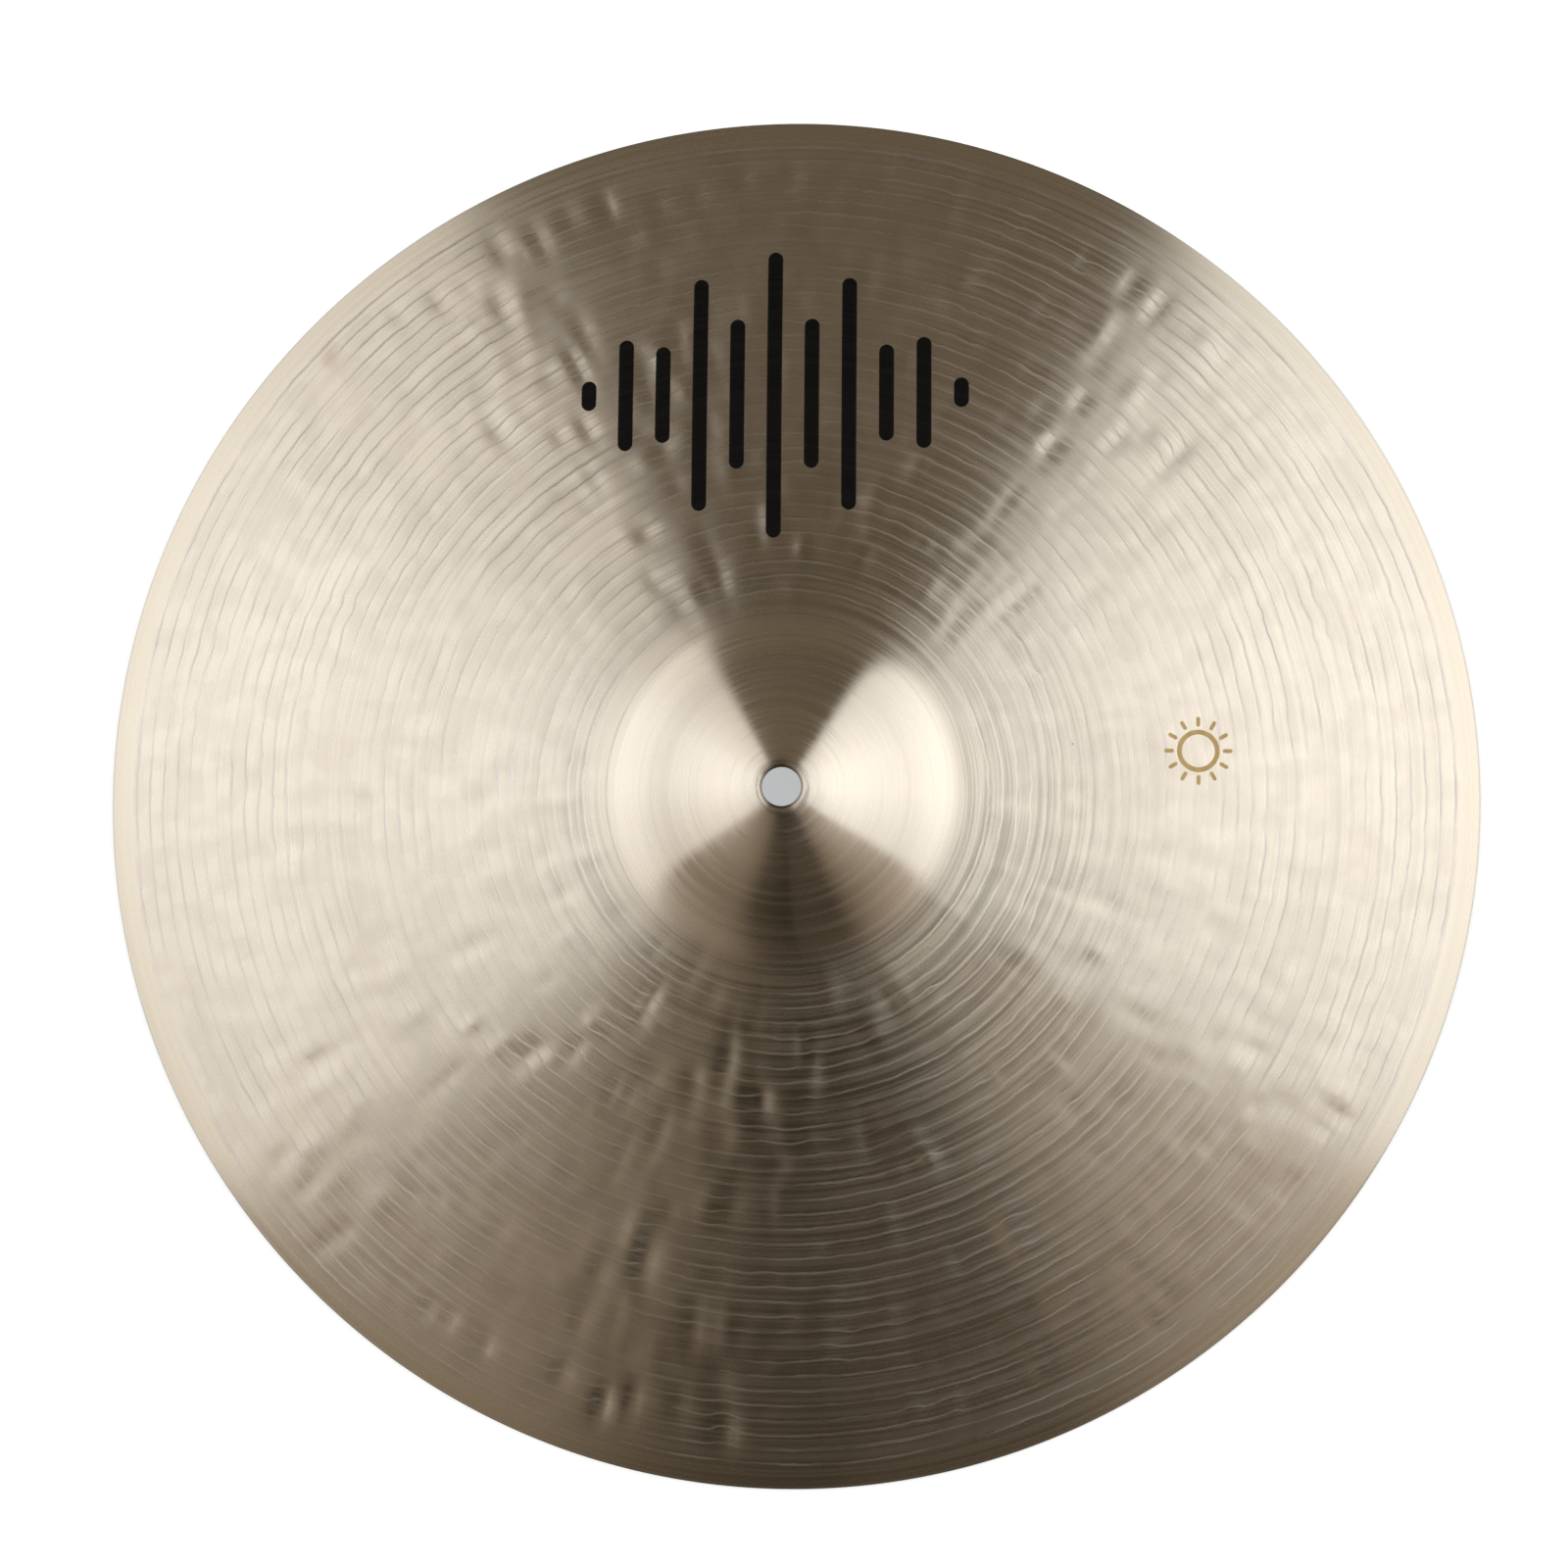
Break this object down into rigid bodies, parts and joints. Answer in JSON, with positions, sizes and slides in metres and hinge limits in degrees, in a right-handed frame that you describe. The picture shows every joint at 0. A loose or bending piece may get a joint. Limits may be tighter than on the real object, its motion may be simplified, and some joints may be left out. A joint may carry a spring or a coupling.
{
  "type": "crash cymbal",
  "caption": "Thin domed bronze crash cymbal with a raised bell, a central stand hole, lathed grooves and hammer marks, and two plain printed marks on its bow.",
  "frame": {"origin": "on the cymbal's axis, on the flat surface that its rim rests on when it lies bell up", "axes": "+Z along the axis of symmetry, towards the bell; +Y from the axis towards the black mark; +X towards the gold mark"},
  "size_m": [0.4572, 0.4572, 0.0484],
  "materials": {
    "bronze": "lathed and hammered tin bronze, thin clear lacquer, fine circular tool lines",
    "black_ink": "satin screen-printing ink",
    "gold_ink": "satin screen-printing ink"
  },
  "bodies": {
    "root": {"cymbal_plate": "bronze", "black_ink_mark": "black_ink", "gold_ink_mark": "gold_ink"}
  },
  "joints": []
}
